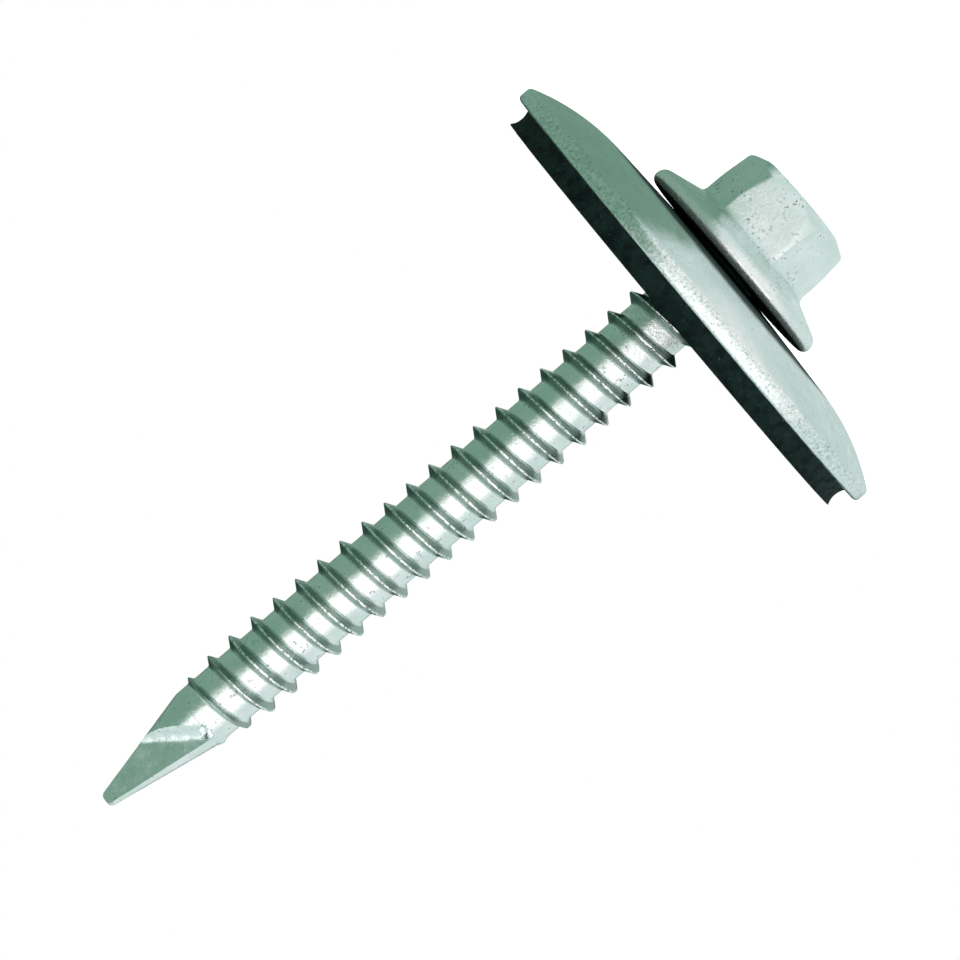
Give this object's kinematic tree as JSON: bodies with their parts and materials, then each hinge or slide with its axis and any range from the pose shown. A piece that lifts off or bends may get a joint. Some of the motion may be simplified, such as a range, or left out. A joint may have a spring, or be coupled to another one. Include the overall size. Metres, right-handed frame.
{
  "type": "self drilling screw",
  "caption": "Hex flange head screw with a rolled thread, a forged drill point and a loose dished steel washer with a bonded rubber seal.",
  "frame": {"origin": "centre of the head's top face, on which the screw stands", "axes": "+Z along the screw's axis, from the head to the drill point"},
  "size_m": [0.032, 0.032, 0.0563],
  "materials": {
    "screw_steel": "bright zinc plating over forged and rolled steel, finely pitted",
    "washer_steel": "satin zinc coating on pressed sheet steel",
    "seal_rubber": "matte, fine grained, with a die-cut edge"
  },
  "bodies": {
    "screw_body": {"screw": "screw_steel"},
    "sealing_washer": {"steel_washer": "washer_steel", "rubber_seal": "seal_rubber"}
  },
  "joints": [
    {"name": "washer_spin", "type": "hinge", "parent": "screw_body", "child": "sealing_washer", "pos_m": [0, 0, 0.00618], "axis": [0, 0, 1], "continuous": true}
  ]
}
